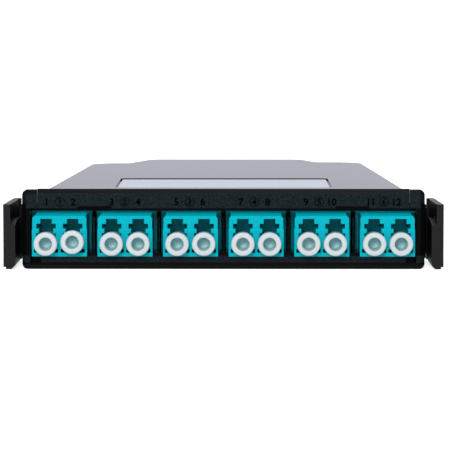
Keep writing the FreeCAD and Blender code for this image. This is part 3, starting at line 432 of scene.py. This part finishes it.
ADAPTER_EDGE = 0.0001
HOLD_DOWN_GAP = 0.00005
TOP_FLANGE_WALL = 0.0004
TOP_FLANGE_RISE = 0.0004
FLANGE_PLACE = 0.011
for pair in range(1, PAIRS + 1):
    dress(softened(f"lc_adapter_{pair}", ADAPTER_EDGE), aqua_pbt)
    low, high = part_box(f"lc_adapter_{pair}")
    # The upper edge of the flange, a thin strip in front of the cover's rib.
    bpy.ops.object.select_all(action="DESELECT")
    bpy.ops.mesh.primitive_cube_add(size=1, location=(
        (low.x + high.x) / 2, low.y + FLANGE_PLACE - HOLD_DOWN_GAP - TOP_FLANGE_WALL / 2,
        high.z + TOP_FLANGE_RISE / 2), scale=(high.x - low.x, TOP_FLANGE_WALL, TOP_FLANGE_RISE))
    bpy.ops.object.transform_apply(location=True, rotation=True, scale=True)
    edge = bpy.context.object
    edge.name = f"lc_adapter_{pair}_top_flange"
    dress(edge, aqua_pbt)
    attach(edge, "housing")


# ---- Dust caps ------------------------------------------------------------------------------
# Soft caps moulded in milky polyethylene, one pushed into each port by hand.
# Each is a ring with a tapering cup in it, and a barrel behind the ring that plugs the port.

# Soft polyethylene is a cloudy white with a soft highlight. From the ring's face backwards, in the cup and
# along the barrel,
# it is painted darker and bluer: painted shade, and painted aqua light from the port round it.
MILKY = "ccd5d8"
MILKY_PAINTED_SHADE = "a4ced2"
milky_pe = moulded_plastic("milky_polyethylene", MILKY, roughness=0.35,
                           grain_mm=0.6, relief_mm=0.001, specular=0.3)
CAP_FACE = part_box("dust_cap_1")[0].y
CAP_SHADE_START = CAP_FACE + 0.0003
CAP_SHADE_END = CAP_FACE + 0.0022
tree = milky_pe.node_tree
place = add_node(tree, "ShaderNodeTexCoord").outputs["Object"]
axes = add_node(tree, "ShaderNodeSeparateXYZ", links={0: place})
# Painted shade and painted aqua light: the colour goes from the cloudy white at the face to a darker
# blue-green further back.
cap_shade_share = add_node(tree, "ShaderNodeMapRange", links={0: axes.outputs[1]}, in_1=CAP_SHADE_START, in_2=CAP_SHADE_END)
tint = add_node(tree, "ShaderNodeMixRGB", links={0: cap_shade_share.outputs[0]},
                in_1=linear(MILKY), in_2=linear(MILKY_PAINTED_SHADE))
tree.links.new(tint.outputs[0], tree.nodes["Principled BSDF"].inputs["Base Color"])
CAP_SEGMENTS = 48


def turned(name, centre, profile):
    """A round piece about the Y axis through a centre, drawn by carrying a ring along (radius, y) points."""
    bpy.ops.object.select_all(action="DESELECT")
    radius, y = profile[0]
    bpy.ops.mesh.primitive_circle_add(vertices=CAP_SEGMENTS, radius=radius, fill_type="NGON",
                                      location=(centre[0], y, centre[1]), rotation=(math.pi / 2, 0, 0))
    bpy.ops.object.transform_apply(location=True, rotation=True, scale=True)
    piece = bpy.context.object
    piece.name = name
    bpy.ops.object.mode_set(mode="EDIT")
    bpy.ops.mesh.select_all(action="SELECT")
    for next_radius, next_y in profile[1:]:
        bpy.ops.mesh.extrude_region_move(TRANSFORM_OT_translate={"value": (0, next_y - y, 0)})
        grow = next_radius / radius
        bpy.ops.transform.resize(value=(grow, 1, grow), center_override=(centre[0], next_y, centre[1]))
        radius, y = next_radius, next_y
    bpy.ops.mesh.select_all(action="SELECT")
    bpy.ops.mesh.normals_make_consistent(inside=False)
    bpy.ops.object.mode_set(mode="OBJECT")
    bpy.ops.object.shade_smooth_by_angle(angle=math.radians(SMOOTH_ANGLE))
    return piece


def quarter(middle_radius, middle_y, radius, start, end, steps=4):
    """Points of a rounded corner about a middle, from one angle to another in degrees."""
    angles = [math.radians(start + (end - start) * step / steps) for step in range(steps + 1)]
    return [(middle_radius + radius * math.cos(a), middle_y + radius * math.sin(a)) for a in angles]


CAP_RING_RADIUS = 0.00275
CAP_RING_LENGTH = 0.0027
BARREL_RADIUS = 0.0022
BARREL_BEVEL = 0.0003
CUP_MOUTH = 0.00155
CUP_FLOOR = 0.00112
CUP_DEPTH = 0.0042
CUP_ROUND = 0.0004
CUP_ROUND_END = 80
CUP_TIP_RADIUS = 0.0005
CUP_TIP_DEPTH = 0.0001
FACE_ROUND = 0.0004
LIP = 0.0002

# In degrees: soft caps hang slightly in their ports, each a little differently, and one stands up.
SAG = -0.4
SAG_CHANGE = 0.1
SAG_STEP = 2.3
RAISED_CAP = 2
RAISED_TILT = 1.9
for port in range(1, 2 * PAIRS + 1):
    low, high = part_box(f"dust_cap_{port}")
    face, tail = low.y, high.y
    seat = face + CAP_RING_LENGTH
    profile = [(BARREL_RADIUS - BARREL_BEVEL, tail), (BARREL_RADIUS, tail - BARREL_BEVEL)]
    profile += [(BARREL_RADIUS, seat)]
    profile += quarter(CAP_RING_RADIUS - LIP, seat - LIP, LIP, 90, 0)
    profile += quarter(CAP_RING_RADIUS - FACE_ROUND, face + FACE_ROUND, FACE_ROUND, 0, -90, steps=6)
    profile += quarter(CUP_MOUTH + LIP, face + LIP, LIP, -90, -180)
    profile += quarter(CUP_FLOOR - CUP_ROUND / 2, face + CUP_DEPTH - CUP_ROUND, CUP_ROUND, 0, CUP_ROUND_END)
    profile += [(CUP_TIP_RADIUS, face + CUP_DEPTH + CUP_TIP_DEPTH)]
    cap = turned(f"dust_cap_{port}_moulding", ((low.x + high.x) / 2, (low.z + high.z) / 2), profile)
    tilt = RAISED_TILT if port == RAISED_CAP else SAG + SAG_CHANGE * math.sin(SAG_STEP * port)
    bpy.ops.transform.rotate(value=math.radians(tilt), orient_axis="X", orient_type="GLOBAL",
                             center_override=((low.x + high.x) / 2, tail, (low.z + high.z) / 2))
    bpy.ops.object.transform_apply(location=True, rotation=True, scale=True)
    dress(cap, milky_pe)
    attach(cap, f"dust_cap_{port}")
    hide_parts(f"dust_cap_{port}")


# ---- Latches --------------------------------------------------------------------------------
# Springy side levers moulded in black nylon: an outer plate with a thumb tab inside its front end.
# Each swings on a barrel that snaps into the tray's socket.

# Moulded nylon is a paler and duller black than the housing.
NYLON_EDGE = 0.00015
black_nylon = moulded_plastic("black_moulded_nylon", "141518", roughness=0.4,
                              grain_mm=0.15, relief_mm=0.004, specular=0.12)
for side in ("left", "right"):
    dress(softened(f"{side}_latch", NYLON_EDGE), black_nylon)


# ---- Rear port and its cap ------------------------------------------------------------------
# The multi-fibre adapter, moulded in black nylon and fitted through the rear wall.
# Its soft black cap is moulded in polyethylene and pushed into the outer socket.

dress(softened("mpo_adapter", NYLON_EDGE), black_nylon)

# Soft polyethylene in black is dull, with a broad highlight.
SOFT_CAP_EDGE = 0.00025
black_pe = moulded_plastic("black_polyethylene", "141516", roughness=0.5,
                           grain_mm=0.4, relief_mm=0.004, specular=0.4)
dress(softened("mpo_dust_cap", SOFT_CAP_EDGE), black_pe)


# ---- Inside the housing ---------------------------------------------------------------------
# Beige plugs behind the adapters, a black multi-fibre plug and fan-out block, and aqua buffered fibre.
# They are laid in before the cover goes on, and the closed housing hides them.

# Both finishes are plain and satin: beige moulded PBT, and the soft buffer round the fibres.
beige_pbt = moulded_plastic("beige_moulded_pbt", "d8cba8", roughness=0.4, grain_mm=0.4, relief_mm=0.003)
aqua_buffer = moulded_plastic("aqua_fibre_buffer", "3fb6bf", roughness=0.45, grain_mm=0.4, relief_mm=0.002)
for pair in range(1, PAIRS + 1):
    dress(nodes[f"inner_plugs_{pair}"], beige_pbt)
for name, material, slot in (("mpo_inner_plug", black_nylon, "black_adapter"),
                             ("fanout_block", black_nylon, "black_adapter"),
                             ("fibre_ribbon", aqua_buffer, "aqua_fibre"),
                             ("fibre_legs", aqua_buffer, "aqua_fibre")):
    dress(nodes[name], material)

bpy.context.scene.view_settings.view_transform = "Standard"
